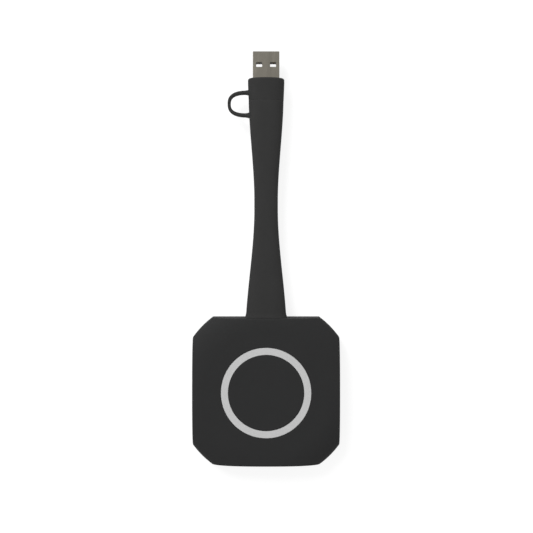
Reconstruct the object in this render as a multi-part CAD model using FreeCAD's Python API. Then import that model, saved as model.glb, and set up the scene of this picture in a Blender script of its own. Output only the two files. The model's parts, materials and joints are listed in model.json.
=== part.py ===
import FreeCAD, Part
import math
import os

V = FreeCAD.Vector
ALONG_X = V(1, 0, 0)
ALONG_Y = V(0, 1, 0)
ALONG_Z = V(0, 0, 1)

# Wireless presentation dongle lying on its back, in millimetres.
# Z is up through the round button, Y runs along the strap to the plug, and Z = 0 is the table.

# Pod: a square with its corners cut to one circle, under a turned front that is flat in the
# middle and falls along a quarter of an ellipse to the parting plane
pod_radius = 41.2
pod_side = 66.5
front_height = 5.0
front_shoulder_width = 13.0
front_edge_radius = 0.8
back_depth = 6.4
back_edge_radius = 2.0
wall = 1.6
lip_width = 0.7
lip_height = 0.8
lip_gap = 0.06
parting_line_height = 0.25
parting_line_depth = 0.3

# Rubber foot ring on the back, in a groove over the case screws
foot_width = 5.0
foot_thickness = 1.2
foot_proud = 0.6
foot_edge_bevel = 0.3
foot_gap = 0.05

back_z = foot_proud
floor_z = back_z + wall
parting_z = back_z + back_depth
crown_z = parting_z + front_height

# Round button and the light ring around it
ring_inner_radius = 17.1
ring_width = 3.1
ring_gap = 0.1
ring_flange_step = 1.3
ring_flange_reach = 3.6
ring_flange_thickness = 1.0
ring_seat_margin = 0.5
stake_radius = 0.5
stake_from_rim = 0.8
stake_gap = 0.05
stake_count = 4
stake_head_height = 0.3

cap_gap = 0.12
cap_plate_thickness = 1.6
cap_skirt_thickness = 1.1
cap_flange_gap = 0.2
cap_flange_thickness = 0.8
cap_seat_gap = 0.05
cap_rim_bevel = 0.15
cap_rib_thickness = 0.8
cap_rib_depth = 0.5
cap_rib_count = 8
nub_radius = 1.7
nub_height = 0.7
key_width = 1.6
key_gap = 0.15
key_angles = (60, 240)
button_travel = 0.35

# Main board
board_thickness = 1.0
board_side_gap = 3.65
board_corner_gap = 3.2

# Light shield that stands on the board and carries the light up to the ring
shield_wall = 0.6
shield_floor_thickness = 0.55
shield_stake_gap = 0.2
shield_clearance = 0.05
shield_notch_gap = 0.3
led_count = 12
led_size = (1.6, 0.8, 0.6)
led_window_gap = 0.2

# Push switch under the button
switch_side = 6.0
switch_base_height = 2.9
switch_cavity_radius = 2.4
switch_cavity_depth = 1.8
switch_cover_thickness = 0.3
switch_cover_tab = 1.2
plunger_radius = 1.6
plunger_collar_radius = 2.1
plunger_collar_height = 1.05
plunger_gap = 0.06
cap_plunger_gap = 0.04
dome_radius = 2.2
dome_rise = 0.5
dome_thickness = 0.1
terminal_width = 0.7
terminal_thickness = 0.2
terminal_reach = 1.0
terminal_spacing = 4.5

# Screws: four long ones close the case under the foot ring, four short ones hold the board
case_boss_radius = 2.4
case_boss_ring_gap = 0.3
case_boss_below_board = 0.5
case_shank_radius = 1.0
case_head_radius = 1.75
case_head_height = 1.2
case_screw_depth = 6.0
case_tower_radius = 3.0
case_seat_thickness = 1.2
board_post_radius = 2.0
board_post_ring_gap = 1.0
board_post_angle = 32.0
board_shank_radius = 0.8
board_head_radius = 1.5
board_head_height = 0.9
board_screw_depth = 4.0
thread_gap = 0.03
screw_hole_gap = 0.15
screw_head_gap = 0.2
recess_depth_share = 0.5
recess_width = 0.5
recess_length = 1.8

# Ribs and rests moulded into the covers
cover_rib_count = 8
cover_rib_thickness = 0.8
cover_rib_depth = 1.2
rest_x = 10.0
rest_from_edge = 2.4
rest_radius = 1.5
boss_overlap = 1.0

# Parts on the board
processor_size = (14.0, 14.0, 1.2)
spreader_size = (30.0, 30.0, 0.5)
spreader_peg_radius = 0.8
spreader_peg_offset = 13.0
spreader_peg_height = 0.45
thermal_pad_side = 12.0
thermal_pad_thickness = 0.5
radio_size = (9.0, 11.0, 1.6)
radio_x = 11.2
memory_size = (8.0, 10.0, 0.9)
memory_x = -10.6
storage_y = -11.0
power_chip_size = (4.0, 4.0, 0.9)
power_chip_y = 9.0
inductor_size = (4.0, 4.0, 2.0)
inductor_place = (6.4, 11.2)
crystal_size = (3.2, 2.5, 0.8)
crystal_place = (-6.5, 10.5)
capacitor_size = (1.0, 0.5, 0.5)
capacitor_pitch = 2.0
capacitor_count = 8
capacitor_row_gap = 1.4
chip_edge_radius = 0.3

# Antennas on the inner side walls
antenna_length = 20.0
antenna_height = 3.2
antenna_thickness = 0.2
antenna_slot = 1.0
clip_y = -7.5
clip_width = 1.5
clip_thickness = 0.2
clip_foot = 2.2
clip_tip_drop = 0.4
clip_inset = 0.4

# Strap: a moulded rubber neck, wide at both ends and narrow at the waist
waist_width = 10.7
waist_depth = 4.6
lower_flare_start = 82.5
lower_flare_width = 8.2
lower_flare_depth = 1.0
lower_flare_length = 58.5
upper_flare_start = 86.0
upper_flare_width = 5.25
upper_flare_depth = 3.1
upper_flare_length = 49.0
strap_squareness = 2.7
strap_sections_each_side = 5
outline_points = 20
strap_gap = 0.1
strap_end_y = 131.6
strap_ear_reach = 2.0
strap_ear_thickness = 2.0
strap_ear_gap = 0.1
ear_rib_thickness = 1.0
ear_rib_width = 2.8
cable_radius = 1.6
cable_fit = 0.02
conductor_radius = 0.32
conductor_count = 4
conductor_end_gap = 0.3

# Wire connector where the strap's cable meets the board
socket_width = 8.4
socket_height = 3.0
socket_depth = 3.8
socket_wall = 0.6
wire_slack = 2.6
wire_plug_gap = 0.05
wire_plug_depth = 3.4
wire_plug_proud = 1.2
wire_pitch = 1.5
wire_end_pitch = 0.8

# Core that is moulded round the plug at the strap's end
core_width = 12.4
core_depth = 5.0
core_length = 13.0
core_edge_radius = 1.2
core_gap = 0.05
core_wall = 1.2
cable_hold_length = 3.0
cable_hold_gap = 0.05
plug_board_thickness = 0.6
plug_board_width = 8.0
plug_board_inset = 0.6

# Reversible plug
c_shell_width = 8.25
c_shell_height = 2.4
c_shell_wall = 0.22
c_shell_reach = 6.65
c_shell_root = 4.0
c_slot_width = 6.9
c_slot_depth = 5.7
c_contact_count = 12
c_contact_pitch = 0.5
c_contact_width = 0.26
c_contact_thickness = 0.1
c_contact_clearance = 0.03
c_fit = 0.045

# Socket for that plug, inside the adapter
c_socket_wall = 0.25
c_tongue_width = 6.69
c_tongue_thickness = 0.7
c_tongue_tip_setback = 1.3
c_tip_clearance = 0.2
c_base_depth = 1.1
seam_gap = 0.15

# Adapter housing
housing_width = 16.5
housing_depth = 8.0
housing_length = 10.1
housing_grow_length = 7.5
housing_end_crown = 150.0
housing_end_radius = 0.9

# Flat plug
usb_a_width = 12.0
usb_a_height = 4.5
usb_a_reach = 11.8
usb_a_wall = 0.3
usb_a_corner = 0.35
usb_a_root = 5.6
window_width = 2.75
window_length = 2.15
window_spacing = 6.3
window_from_tip = 4.85
window_corner = 0.3
tongue_thickness = 1.85
tongue_tip_setback = 0.5
tongue_side_gap = 0.05
relief_side = 0.3
usb_a_base_depth = 1.6
usb_a_contact_pitch = 2.3
usb_a_contact_width = 1.0
usb_a_contact_thickness = 0.2
usb_a_contact_setback = 1.2
usb_a_contact_length = 3.0
usb_a_contact_count = 4
adapter_board_width = 8.0
adapter_board_thickness = 0.6

# Rubber tether that keeps the adapter with the strap
tether_below_seam = 1.4
tether_root_reach = 0.55
tether_reach = 9.0
tether_half_height = 6.05
tether_apex_thickness = 1.45
tether_arm_thickness = 1.8
tether_squareness = 2.6
tether_width = 3.0
tether_edge_radius = 0.5
tether_anchor_depth = 1.5
tether_fit = 0.05


# Simple solids

def block(centre_x, centre_y, base_z, size_x, size_y, height):
    corner = V(centre_x - size_x / 2, centre_y - size_y / 2, base_z)
    return Part.makeBox(size_x, size_y, height, corner)


def disc(radius, base_z, top_z, x=0.0, y=0.0):
    return Part.makeCylinder(radius, top_z - base_z, V(x, y, base_z), ALONG_Z)


def ring(outer, inner, base_z, top_z):
    return disc(outer, base_z, top_z).cut(disc(inner, base_z, top_z))


def rod(radius, start_y, end_y, x=0.0, z=parting_z):
    return Part.makeCylinder(radius, end_y - start_y, V(x, start_y, z), ALONG_Y)


def slab(width, depth, start_y, end_y, z=parting_z):
    corner = V(-width / 2, start_y, z - depth / 2)
    return Part.makeBox(width, end_y - start_y, depth, corner)


def joined(first, others):
    return first.fuse(list(others)).removeSplitter()


def edges_along(shape, direction):
    found = []
    for edge in shape.Edges:
        if isinstance(edge.Curve, Part.Line):
            if abs(abs(edge.Curve.Direction.dot(direction)) - 1) < 1e-6:
                found.append(edge)
    return found


def rounded(shape, radius, direction):
    return shape.makeFillet(radius, edges_along(shape, direction))


def four_corners(x, y):
    return [(x, y), (-x, y), (-x, -y), (x, -y)]


def around(shape, angle):
    turned = shape.copy()
    turned.rotate(V(0, 0, 0), ALONG_Z, angle)
    return turned


# Pod outline

def front_surface_z(radius, inset):
    # Height of the front's surface, or of the cavity's surface one wall further in
    slope_start = pod_radius - front_shoulder_width
    share = max(radius - slope_start, 0) / (front_shoulder_width - inset)
    return parting_z + (front_height - inset) * math.sqrt(1 - share ** 2)


def square_prism(inset, base_z, top_z):
    side = pod_side - 2 * inset
    return block(0, 0, base_z, side, side, top_z - base_z)


def outline_plate(inset, base_z, top_z):
    return disc(pod_radius - inset, base_z, top_z).common(square_prism(inset, base_z, top_z))


def quarter_arc(centre, side, top):
    # A quarter of an ellipse, or of a circle, between two points level with and above its centre
    if (side - centre).Length > (top - centre).Length:
        ellipse = Part.Ellipse(side, top, centre)
    else:
        ellipse = Part.Ellipse(top, side, centre)
    return Part.Arc(ellipse, 0, math.pi / 2).toShape()


def dome(inset):
    # The turned front above the parting plane, with its four sides cut flat
    height = front_height - inset
    centre = V(pod_radius - front_shoulder_width, 0, parting_z)
    rim = centre + ALONG_X * (front_shoulder_width - inset)
    top = centre + ALONG_Z * height
    foot = V(0, 0, parting_z)
    apex = foot + ALONG_Z * height
    edges = [
        Part.makeLine(apex, top),
        quarter_arc(centre, rim, top),
        Part.makeLine(rim, foot),
        Part.makeLine(foot, apex),
    ]
    outline = Part.Face(Part.Wire(Part.__sortEdges__(edges)))
    turned = outline.revolve(V(0, 0, 0), ALONG_Z, 360)
    return around(turned, 45).common(square_prism(inset, parting_z, 2 * crown_z))


def front_body():
    # The front with the edge over each flat side rounded
    body = dome(0)
    side_edges = []
    for face in body.Faces:
        if isinstance(face.Surface, Part.Plane) and abs(face.Surface.Axis.z) < 1e-6:
            side_edges += [edge for edge in face.Edges if edge.BoundBox.ZMax > parting_z + lip_height]
    return body.makeFillet(front_edge_radius, side_edges)


def back_body():
    body = outline_plate(0, back_z, parting_z)
    rim = [edge for edge in body.Edges if edge.BoundBox.ZMax < back_z + foot_gap]
    return body.makeFillet(back_edge_radius, rim)


def above(z):
    return block(0, 0, z, 4 * pod_radius, 4 * pod_radius, 4 * pod_radius)


def below(z):
    return block(0, 0, z - 4 * pod_radius, 4 * pod_radius, 4 * pod_radius, 4 * pod_radius)


# Strap outline

def eased(share):
    share = min(max(share, 0.0), 1.0)
    return share * share * (3 - 2 * share)


def strap_size(y):
    lower = eased((lower_flare_start - y) / lower_flare_length)
    upper = eased((y - upper_flare_start) / upper_flare_length)
    width = waist_width + lower_flare_width * lower + upper_flare_width * upper
    depth = waist_depth + lower_flare_depth * lower + upper_flare_depth * upper
    return width, depth


def squared_point(turn, squareness):
    # A point of the unit superellipse: a circle at squareness 2, and squarer above that
    power = 2 / squareness
    across = math.copysign(abs(math.cos(turn)) ** power, math.cos(turn))
    up = math.copysign(abs(math.sin(turn)) ** power, math.sin(turn))
    return across, up


def oval_wire(width, depth, y):
    points = []
    for step in range(outline_points):
        across, up = squared_point(2 * math.pi * step / outline_points, strap_squareness)
        points.append(V(across * width / 2, y, parting_z + up * depth / 2))
    curve = Part.BSplineCurve()
    curve.interpolate(Points=points, PeriodicFlag=True)
    return Part.Wire(curve.toShape())


def oval_prism(width, depth, start_y, end_y):
    return Part.Face(oval_wire(width, depth, start_y)).extrude(ALONG_Y * (end_y - start_y))


def strap_stations(start_y, end_y):
    lower_step = (lower_flare_start - start_y) / strap_sections_each_side
    upper_step = (end_y - upper_flare_start) / strap_sections_each_side
    lower = [start_y + lower_step * step for step in range(strap_sections_each_side + 1)]
    upper = [upper_flare_start + upper_step * step for step in range(strap_sections_each_side + 1)]
    return lower + upper


# Places worked out from the sizes above

half_side = pod_side / 2
inner_side = half_side - wall
pad_z = floor_z + spreader_size[2]
processor_z = pad_z + thermal_pad_thickness
board_z = processor_z + processor_size[2]
board_top = board_z + board_thickness
board_half = inner_side - board_side_gap
board_corner_radius = pod_radius - wall - board_corner_gap
ear_end_y = inner_side - strap_ear_gap
ear_start_y = ear_end_y - strap_ear_thickness
cover_rib_end = (ear_start_y - strap_ear_gap - ear_rib_thickness) / math.cos(math.pi / cover_rib_count)
root_width, root_depth = strap_size(half_side)
ear_half_width = root_width / 2 + strap_ear_reach
ear_corner = math.hypot(ear_half_width, ear_end_y)
ear_height = 2 * (front_surface_z(ear_corner, wall) - strap_ear_gap - parting_z)
seam_width, seam_depth = strap_size(strap_end_y)
core_start_y = strap_end_y - core_length
ring_outer_radius = ring_inner_radius + ring_width
ring_flange_inner = ring_inner_radius + ring_flange_step
ring_flange_outer = ring_outer_radius + ring_flange_reach
opening_radius = ring_outer_radius + ring_gap
ring_seat_z = front_surface_z(ring_flange_outer + ring_seat_margin, wall)
ring_flange_z = ring_seat_z - ring_flange_thickness
stake_circle = ring_flange_outer - stake_from_rim
shield_outer_radius = stake_circle - stake_radius - shield_stake_gap
led_circle = (ring_flange_inner + shield_outer_radius) / 2
cap_radius = ring_inner_radius - cap_gap
cap_plate_under_z = crown_z - cap_plate_thickness
cap_flange_radius = ring_flange_inner - cap_flange_gap
cap_flange_top = ring_seat_z - cap_seat_gap
cap_flange_z = cap_flange_top - cap_flange_thickness
plunger_top = cap_plate_under_z - nub_height - cap_plunger_gap
switch_base_top = board_top + switch_base_height
switch_cavity_z = switch_base_top - switch_cavity_depth
case_screw_circle = ring_flange_outer + case_boss_ring_gap + case_boss_radius
board_screw_circle = ring_flange_outer + board_post_ring_gap + board_post_radius
case_boss_z = board_z - case_boss_below_board
case_seat_z = case_boss_z - lip_gap - case_seat_thickness
foot_inner_radius = case_screw_circle - foot_width / 2
foot_outer_radius = case_screw_circle + foot_width / 2
foot_top_z = back_z + foot_thickness - foot_proud
wire_plug_end_y = ear_start_y - wire_slack
wire_plug_start_y = wire_plug_end_y - wire_plug_depth
socket_end_y = wire_plug_end_y - wire_plug_proud
housing_start_y = strap_end_y + seam_gap
housing_end_y = housing_start_y + housing_length
usb_a_tip_y = housing_end_y + usb_a_reach
usb_a_back_y = housing_end_y - usb_a_root
c_plug_tip_y = strap_end_y + c_shell_reach
c_slot_half = c_tongue_thickness / 2 + c_contact_clearance + c_contact_thickness
c_base_y = c_plug_tip_y + c_tip_clearance
c_base_end_y = c_base_y + c_base_depth
usb_a_inner_width = usb_a_width - 2 * usb_a_wall
usb_a_inner_height = usb_a_height - 2 * usb_a_wall
tongue_z = parting_z - usb_a_inner_height / 2
adapter_board_end_y = housing_end_y + adapter_board_thickness
tether_root_x = -(seam_width / 2 + tether_root_reach)
tether_centre_y = strap_end_y - tether_below_seam
nodes = {}


# Strap and what runs through it

def strap_solid():
    wires = [oval_wire(*strap_size(y), y) for y in strap_stations(half_side, strap_end_y)]
    return Part.makeLoft(wires, True, False)


def make_strap():
    root = oval_prism(root_width, root_depth, ear_start_y, half_side)
    ears = slab(2 * ear_half_width, ear_height, ear_start_y, ear_end_y)
    sleeve = strap_solid().fuse([root, ears])
    core = rounded(slab(core_width + 2 * core_gap, core_depth + 2 * core_gap,
                        core_start_y - core_gap, strap_end_y), core_edge_radius, ALONG_Y)
    bore = rod(cable_radius + cable_fit, ear_start_y, core_start_y)
    sleeve = sleeve.cut(core).cut(bore).cut(tether_anchor(-1, tether_fit))
    nodes["neck_sleeve"] = sleeve
    cable = rod(cable_radius, ear_start_y, core_start_y + cable_hold_length)
    nodes["usb_cable"] = cable


def strap_slot():
    # Passage for the strap through the pod's wall
    wide = root_width + 2 * strap_gap
    deep = root_depth + 2 * strap_gap
    return oval_prism(wide, deep, inner_side - wall, half_side + wall)


def ear_ribs():
    # A rib each side, in front of the strap's ears, so that the strap can't be pushed in
    ribs = []
    for side in (-1, 1):
        x = side * (ear_half_width - ear_rib_width / 2)
        y = ear_start_y - strap_ear_gap - ear_rib_thickness / 2
        ribs.append(block(x, y, 0, ear_rib_width, ear_rib_thickness, 2 * crown_z))
    return ribs


# Covers

def on_circle(radius, angle):
    # Four places on a circle, alike in each quarter
    turn = math.radians(angle)
    return four_corners(radius * math.cos(turn), radius * math.sin(turn))


def case_screw_places():
    return on_circle(case_screw_circle, 45)


def board_screw_places():
    return on_circle(board_screw_circle, board_post_angle)


def make_front_cover():
    shell = front_body().cut(dome(wall))
    added = [ring(ring_flange_outer + ring_seat_margin, opening_radius, ring_seat_z, crown_z)]
    for x, y in case_screw_places():
        added.append(disc(case_boss_radius, parting_z, crown_z, x, y))
    for x, y in board_screw_places():
        added.append(disc(board_post_radius, parting_z, crown_z, x, y))
    rib_z = ring_seat_z - cover_rib_depth
    for index in range(cover_rib_count):
        length = cover_rib_end - ring_flange_outer
        rib = block(ring_flange_outer + length / 2, 0, rib_z, length, cover_rib_thickness, crown_z)
        added.append(around(rib, (index + 0.5) * 360 / cover_rib_count))
    ribs = [rib.common(above(parting_z)) for rib in ear_ribs()]
    thick_inside = dome(wall - boss_overlap)
    grown = [piece.common(thick_inside) for piece in added + ribs]
    shell = shell.fuse(grown)
    feet = []
    for x, y in case_screw_places():
        feet.append(disc(case_boss_radius, case_boss_z, parting_z, x, y))
    for x, y in board_screw_places():
        feet.append(disc(board_post_radius, board_top, parting_z, x, y))
    for index in range(stake_count):
        pin = disc(stake_radius, ring_flange_z - stake_head_height, ring_seat_z, stake_circle)
        feet.append(around(pin, index * 360 / stake_count))
    shell = shell.fuse(feet)
    holes = [disc(opening_radius, ring_seat_z - cover_rib_depth, 2 * crown_z), strap_slot()]
    for x, y in case_screw_places():
        top = case_boss_z + case_screw_depth
        holes.append(disc(case_shank_radius + thread_gap, case_boss_z, top, x, y))
    for x, y in board_screw_places():
        top = board_top + board_screw_depth
        holes.append(disc(board_shank_radius + thread_gap, board_top, top, x, y))
    recess = outline_plate(wall - lip_width, parting_z, parting_z + lip_height)
    holes.append(recess.cut(outline_plate(wall, parting_z, parting_z + lip_height)))
    nodes["front_cover"] = shell.cut(holes).removeSplitter()


def make_back_cover():
    shell = back_body().cut(outline_plate(wall, floor_z, parting_z))
    lip_top = parting_z + lip_height - lip_gap
    lip = outline_plate(wall - lip_width + lip_gap, parting_z - lip_height, lip_top)
    lip = lip.cut(outline_plate(wall, parting_z - lip_height, lip_top))
    line_z = parting_z - parting_line_height
    line = outline_plate(0, line_z, parting_z).cut(outline_plate(parting_line_depth, line_z, parting_z))
    shell = shell.cut(line)
    added = [lip]
    for x, y in case_screw_places():
        added.append(disc(case_tower_radius, foot_top_z, case_seat_z + case_seat_thickness, x, y))
    for x, y in four_corners(rest_x, board_half - rest_from_edge):
        added.append(disc(rest_radius, floor_z, board_z, x, y))
    for x, y in four_corners(spreader_peg_offset, spreader_peg_offset):
        added.append(disc(spreader_peg_radius, floor_z, floor_z + spreader_peg_height, x, y))
    for rib in ear_ribs():
        low = rib.common(below(parting_z)).common(above(back_z + wall / 2))
        added.append(low)
    shell = shell.fuse(added)
    holes = [ring(foot_outer_radius, foot_inner_radius, -foot_thickness, foot_top_z), strap_slot()]
    for x, y in case_screw_places():
        holes.append(disc(case_head_radius + screw_head_gap, 0, case_seat_z, x, y))
        holes.append(disc(case_shank_radius + screw_hole_gap, case_seat_z, parting_z, x, y))
    nodes["back_cover"] = shell.cut(holes).removeSplitter()


def make_foot_ring():
    foot = ring(foot_outer_radius - foot_gap, foot_inner_radius + foot_gap, 0, foot_top_z)
    rims = [edge for edge in foot.Edges if edge.BoundBox.ZMax < foot_gap]
    rims = [edge for edge in rims if isinstance(edge.Curve, Part.Circle)]
    nodes["foot_ring"] = foot.makeChamfer(foot_edge_bevel, rims)


# Button and light ring

def under_front(solid):
    # Trims a solid to the front's own surface, so that its top lies flush with it
    return solid.common(dome(0))


def make_light_ring():
    upper = under_front(ring(ring_outer_radius, ring_inner_radius, ring_seat_z, 2 * crown_z))
    flange = ring(ring_flange_outer, ring_flange_inner, ring_flange_z, ring_seat_z)
    body = upper.fuse(flange).removeSplitter()
    holes = []
    for index in range(stake_count):
        hole = disc(stake_radius + stake_gap, 0, ring_seat_z, stake_circle)
        holes.append(around(hole, index * 360 / stake_count))
    nodes["light_ring"] = body.cut(holes)


def make_button_cap():
    skirt_inner = cap_radius - cap_skirt_thickness
    plate = under_front(disc(cap_radius, cap_plate_under_z, 2 * crown_z))
    rim = [edge for edge in plate.Edges
           if edge.BoundBox.ZMin > cap_plate_under_z + cap_rim_bevel and edge.Length > cap_radius]
    plate = plate.makeChamfer(cap_rim_bevel, rim)
    skirt = ring(cap_radius, skirt_inner, cap_flange_z, cap_plate_under_z)
    flange = ring(cap_flange_radius, skirt_inner, cap_flange_z, cap_flange_top)
    nub = disc(nub_radius, plunger_top + cap_plunger_gap, cap_plate_under_z)
    pieces = [skirt, flange, nub]
    rib_z = cap_plate_under_z - cap_rib_depth
    for index in range(cap_rib_count):
        rib = block(skirt_inner / 2, 0, rib_z, skirt_inner, cap_rib_thickness, cap_rib_depth)
        pieces.append(around(rib, index * 360 / cap_rib_count))
    cap = joined(plate, pieces)
    notches = []
    for angle in key_angles:
        notch = block(cap_flange_radius, 0, cap_flange_z - cap_flange_thickness,
                      2 * (cap_flange_radius - cap_radius), key_width + 2 * key_gap,
                      2 * cap_flange_thickness + cap_seat_gap / 2)
        notches.append(around(notch, angle))
    nodes["button_cap"] = cap.cut(notches)


def make_light_shield():
    shield_z = board_top + shield_clearance
    top = ring_flange_z - shield_clearance
    inner = ring_flange_inner
    outer_wall = ring(shield_outer_radius, shield_outer_radius - shield_wall, shield_z, top)
    inner_wall = ring(inner + shield_wall, inner, shield_z, top)
    floor = ring(shield_outer_radius, inner, shield_z, shield_z + shield_floor_thickness)
    key_z = cap_flange_z - button_travel - cap_flange_thickness
    keys = []
    for angle in key_angles:
        reach = ring_flange_inner - cap_radius - key_gap
        key = block(cap_radius + key_gap + reach / 2 + shield_wall / 4, 0, key_z,
                    reach + shield_wall / 2, key_width, top - key_z)
        keys.append(around(key, angle))
    body = joined(outer_wall, [inner_wall, floor] + keys)
    windows = []
    length, depth = led_size[:2]
    for index in range(led_count):
        window = block(led_circle, 0, board_top, depth + 2 * led_window_gap,
                       length + 2 * led_window_gap, shield_clearance + shield_floor_thickness * 2)
        windows.append(around(window, (index + 0.5) * 360 / led_count))
    notch = block(0, socket_end_y, board_top, socket_width + 2 * shield_notch_gap,
                  2 * (socket_depth + shield_notch_gap), socket_height + shield_notch_gap)
    nodes["light_shield"] = body.cut(windows + [notch])


def make_leds():
    length, depth, height = led_size
    lamps = []
    for index in range(led_count):
        lamp = block(led_circle, 0, board_top, depth, length, height)
        lamps.append(around(lamp, (index + 0.5) * 360 / led_count))
    nodes["leds"] = Part.makeCompound(lamps)


# Push switch

def make_switch():
    base = block(0, 0, board_top, switch_side, switch_side, switch_base_height)
    base = base.cut(disc(switch_cavity_radius, switch_cavity_z, switch_base_top))
    nodes["switch_base"] = base
    cover_top = switch_base_top + switch_cover_thickness
    cover = block(0, 0, switch_base_top, switch_side, switch_side, switch_cover_thickness)
    tabs = []
    for side in (-1, 1):
        y = side * (switch_side + switch_cover_thickness) / 2
        tab_z = switch_base_top - switch_cover_tab
        tabs.append(block(0, y, tab_z, switch_side / 2, switch_cover_thickness, cover_top - tab_z))
    cover = joined(cover, tabs).cut(disc(plunger_radius + plunger_gap, 0, crown_z))
    nodes["switch_cover"] = cover
    collar_z = switch_base_top - plunger_gap - plunger_collar_height
    collar = disc(plunger_collar_radius, collar_z, switch_base_top - plunger_gap)
    stem = disc(plunger_radius, collar_z, plunger_top)
    nodes["switch_plunger"] = joined(collar, [stem])
    dome_z = switch_cavity_z + plunger_gap
    ball_radius = (dome_radius ** 2 + dome_rise ** 2) / (2 * dome_rise)
    centre = V(0, 0, dome_z + dome_rise - ball_radius)
    shell = Part.makeSphere(ball_radius, centre).cut(Part.makeSphere(ball_radius - dome_thickness, centre))
    nodes["switch_dome"] = shell.common(above(dome_z))
    terminals = []
    for x_side in (-1, 1):
        for y_side in (-1, 1):
            x = x_side * (switch_side / 2 + terminal_thickness / 2)
            y = y_side * terminal_spacing / 2
            leg = block(x, y, board_top, terminal_thickness, terminal_width, switch_base_height / 2)
            foot_x = x_side * (switch_side / 2 + terminal_reach / 2)
            foot = block(foot_x, y, board_top, terminal_reach, terminal_width, terminal_thickness)
            terminals.append(joined(leg, [foot]))
    nodes["switch_terminals"] = Part.makeCompound(terminals)


# Board and the parts on it

def make_board():
    board = block(0, 0, board_z, 2 * board_half, 2 * board_half, board_thickness)
    board = board.common(disc(board_corner_radius, board_z, board_top))
    holes = []
    for x, y in case_screw_places():
        holes.append(disc(case_boss_radius + screw_head_gap, board_z, board_top, x, y))
    for x, y in board_screw_places():
        holes.append(disc(board_shank_radius + screw_hole_gap, board_z, board_top, x, y))
    nodes["main_board"] = board.cut(holes)


def shield_can(x, y, base_z, size):
    length, width, height = size
    can = block(x, y, base_z, length, width, height)
    return rounded(can, chip_edge_radius, ALONG_Z)


def chip(x, y, base_z, size):
    return block(x, y, base_z, size[0], size[1], size[2])


def make_board_parts():
    nodes["processor_shield"] = shield_can(0, 0, processor_z, processor_size)
    nodes["radio_shield"] = shield_can(radio_x, 0, board_top, radio_size)
    memory = chip(memory_x, 0, board_top, memory_size)
    storage = chip(0, storage_y, board_top, (memory_size[1], memory_size[0], memory_size[2]))
    nodes["memory_chips"] = Part.makeCompound([memory, storage])
    nodes["power_chip"] = chip(0, power_chip_y, board_top, power_chip_size)
    nodes["power_inductor"] = rounded(chip(*inductor_place, board_top, inductor_size),
                                      2 * chip_edge_radius, ALONG_Z)
    nodes["crystal"] = shield_can(*crystal_place, board_top, crystal_size)
    row = []
    row_y = processor_size[1] / 2 + capacitor_row_gap
    for index in range(capacitor_count):
        x = (index - (capacitor_count - 1) / 2) * capacitor_pitch
        for side in (-1, 1):
            row.append(chip(x, side * row_y, board_z - capacitor_size[2], capacitor_size))
    nodes["capacitors"] = Part.makeCompound(row)


def make_heat_path():
    length, width, thickness = spreader_size
    plate = rounded(block(0, 0, floor_z, length, width, thickness), 2 * chip_edge_radius, ALONG_Z)
    holes = []
    for x, y in four_corners(spreader_peg_offset, spreader_peg_offset):
        hole_radius = spreader_peg_radius + screw_hole_gap
        holes.append(disc(hole_radius, floor_z, floor_z + thickness, x, y))
    nodes["heat_spreader"] = plate.cut(holes)
    nodes["thermal_pad"] = block(0, 0, pad_z, thermal_pad_side, thermal_pad_side,
                                 thermal_pad_thickness)


def make_antennas():
    antenna_z = parting_z - antenna_height
    for name, side in (("antenna_left", -1), ("antenna_right", 1)):
        x = side * (inner_side - antenna_thickness / 2)
        strip = block(x, 0, antenna_z, antenna_thickness, antenna_length, antenna_height)
        slot_y = antenna_length / 4
        slot_z = antenna_z + antenna_slot
        slot = block(x, slot_y, slot_z, 2 * antenna_thickness, antenna_length / 3, antenna_slot)
        nodes[name] = strip.cut(slot)
    clips = []
    for side in (-1, 1):
        outer_x = inner_side - antenna_thickness
        foot_end = board_half - clip_inset
        top = board_top + clip_thickness
        tip_z = parting_z - clip_tip_drop
        y = clip_y - clip_width / 2
        profile = [
            V(side * (foot_end - clip_foot), y, board_top),
            V(side * foot_end, y, board_top),
            V(side * outer_x, y, tip_z - clip_thickness),
            V(side * (outer_x - clip_thickness), y, tip_z),
            V(side * (foot_end - clip_thickness), y, top),
            V(side * (foot_end - clip_foot), y, top),
        ]
        outline = Part.makePolygon(profile + profile[:1])
        clips.append(Part.Face(outline).extrude(ALONG_Y * clip_width))
    nodes["antenna_clips"] = Part.makeCompound(clips)


def make_wire_connector():
    body = block(0, socket_end_y - socket_depth / 2, board_top, socket_width, socket_depth, socket_height)
    plug_width = socket_width - 2 * (socket_wall + wire_plug_gap)
    plug_height = socket_height - 2 * (socket_wall + wire_plug_gap)
    middle_z = board_top + socket_height / 2
    hollow = slab(plug_width + 2 * wire_plug_gap, plug_height + 2 * wire_plug_gap,
                  wire_plug_start_y - wire_plug_gap, socket_end_y, middle_z)
    nodes["wire_socket"] = body.cut(hollow)
    nodes["wire_plug"] = slab(plug_width, plug_height, wire_plug_start_y, wire_plug_end_y, middle_z)
    wires = []
    for index in range(conductor_count):
        place = index - (conductor_count - 1) / 2
        start = V(place * wire_pitch, wire_plug_end_y + conductor_end_gap, middle_z)
        end = V(place * wire_end_pitch, ear_start_y - conductor_end_gap, parting_z)
        run = end - start
        wires.append(Part.makeCylinder(conductor_radius, run.Length, start, run))
    nodes["lead_wires"] = Part.makeCompound(wires)


# Screws

def pan_screw(x, y, seat_z, head_radius, head_height, shank_radius, shank_length):
    # The head hangs below its seat and the shank points up
    head_z = seat_z - head_height
    head = disc(head_radius, head_z, seat_z, x, y)
    shank = disc(shank_radius, seat_z, seat_z + shank_length, x, y)
    screw = joined(head, [shank])
    depth = head_height * recess_depth_share
    reach = min(recess_length, head_radius)
    slot = block(x, y, head_z, reach, recess_width, depth)
    cross_slot = block(x, y, head_z, recess_width, reach, depth)
    return screw.cut([slot, cross_slot])


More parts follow.
